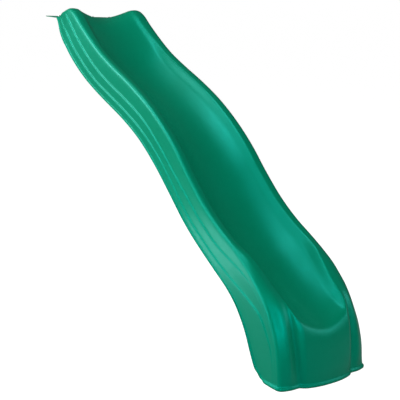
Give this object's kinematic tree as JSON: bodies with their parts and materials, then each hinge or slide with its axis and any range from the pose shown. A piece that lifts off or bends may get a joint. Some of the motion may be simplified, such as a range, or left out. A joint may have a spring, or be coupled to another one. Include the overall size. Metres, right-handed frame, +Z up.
{
  "type": "straight playground slide",
  "caption": "Straight wave slide with raised rails, terraced skirts, a scooped exit with a solid foot, and a flat flange screwed to a raised play deck.",
  "frame": {"origin": "on the deck's surface, which the flange lies on, in the middle of the row of deck screws", "axes": "+X across the slide, to the right of somebody looking from the exit up to the deck; +Y from the exit towards the deck, level; +Z up. The exit faces -Y and the ground is at z = -1.524 m."},
  "size_m": [0.552, 2.598, 1.5899],
  "materials": {
    "chute_plastic": "satin",
    "zinc_steel": "bright zinc",
    "washer_steel": "bright zinc"
  },
  "bodies": {
    "root": {"chute": "chute_plastic", "deck_screws": "zinc_steel", "deck_washers": "washer_steel"}
  },
  "joints": []
}
